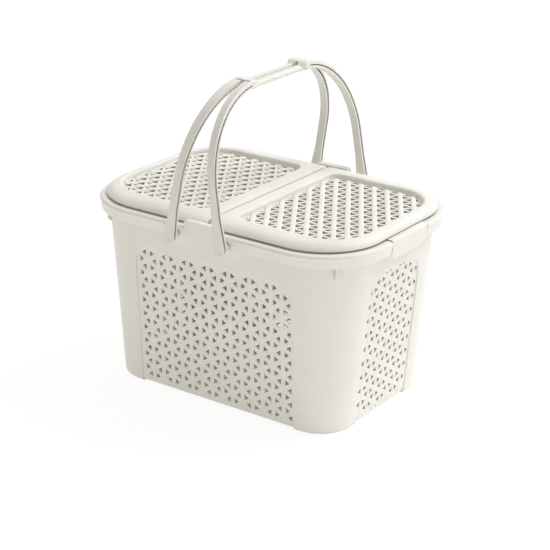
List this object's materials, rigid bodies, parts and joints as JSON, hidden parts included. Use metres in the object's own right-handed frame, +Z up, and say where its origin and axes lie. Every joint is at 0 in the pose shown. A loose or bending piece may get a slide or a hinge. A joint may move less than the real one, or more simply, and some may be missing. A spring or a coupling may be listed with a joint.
{
  "type": "picnic basket",
  "caption": "Moulded plastic picnic basket with pierced lattice walls, hinged lid flaps that meet at the middle and arched carry handles that fold outwards.",
  "frame": {"origin": "on the ground under the middle of the tub", "axes": "+X along the basket's length, from one lid to the other; +Y across its width; +Z up"},
  "size_m": [0.3974, 0.3112, 0.3985],
  "materials": {
    "tub_plastic": "satin ivory moulding",
    "lid_plastic": "satin ivory moulding",
    "handle_plastic": "satin ivory moulding"
  },
  "bodies": {
    "tub": {"tub": "tub_plastic"},
    "lid_left": {"lid_left": "lid_plastic"},
    "lid_right": {"lid_right": "lid_plastic"},
    "handle_left": {"handle_left": "handle_plastic"},
    "handle_right": {"handle_right": "handle_plastic"}
  },
  "joints": [
    {"name": "lid_left_hinge", "type": "hinge", "parent": "tub", "child": "lid_left", "pos_m": [-0.009, 0, 0.2395], "axis": [0, 1, 0], "range_deg": [0, 75]},
    {"name": "lid_right_hinge", "type": "hinge", "parent": "tub", "child": "lid_right", "pos_m": [0.009, 0, 0.2395], "axis": [0, -1, 0], "range_deg": [0, 75]},
    {"name": "handle_left_fold", "type": "hinge", "parent": "tub", "child": "handle_left", "pos_m": [-0.0365, 0, 0.224], "axis": [0, -1, 0], "range_deg": [0, 99]},
    {"name": "handle_right_fold", "type": "hinge", "parent": "tub", "child": "handle_right", "pos_m": [0.0365, 0, 0.224], "axis": [0, 1, 0], "range_deg": [0, 99]}
  ]
}
